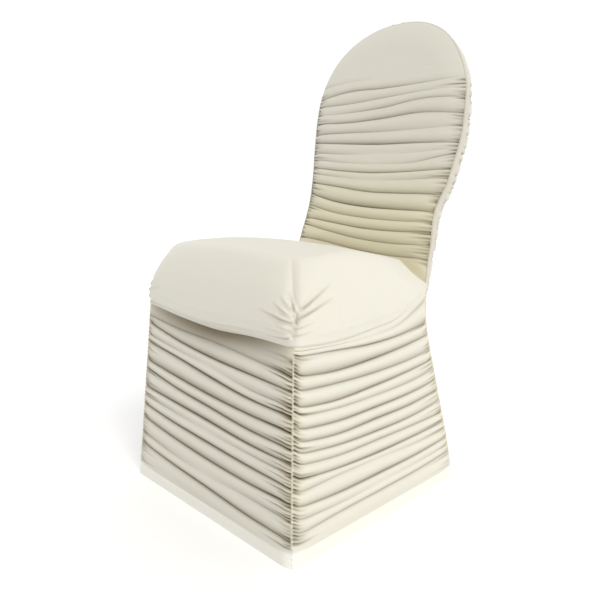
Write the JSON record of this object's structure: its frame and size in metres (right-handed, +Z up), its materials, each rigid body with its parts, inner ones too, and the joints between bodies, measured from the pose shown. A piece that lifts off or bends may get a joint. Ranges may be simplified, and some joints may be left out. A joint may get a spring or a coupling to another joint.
{
  "type": "ruched chair cover",
  "caption": "Fitted stretch cloth cover for a banquet chair, with ruched cross folds on the backrest and skirt, a smooth padded seat and foot pockets.",
  "frame": {"origin": "floor level, under the middle of the cover's width and depth", "axes": "+X to the sitter's left and the viewer's right, the front of the seat faces -Y, +Z up"},
  "size_m": [0.4896, 0.5721, 0.9437],
  "materials": {
    "stretch_cloth": "smooth matt stretch knit with a slight sheen",
    "doubled_cloth": "doubled stretch knit, more opaque"
  },
  "bodies": {
    "root": {"back_front": "stretch_cloth", "back_rear": "stretch_cloth", "seat": "stretch_cloth", "skirt_front": "stretch_cloth", "skirt_right": "stretch_cloth", "skirt_left": "stretch_cloth", "foot_pocket_front_left": "doubled_cloth", "foot_pocket_front_right": "doubled_cloth", "foot_pocket_rear_left": "doubled_cloth", "foot_pocket_rear_right": "doubled_cloth"}
  },
  "joints": []
}
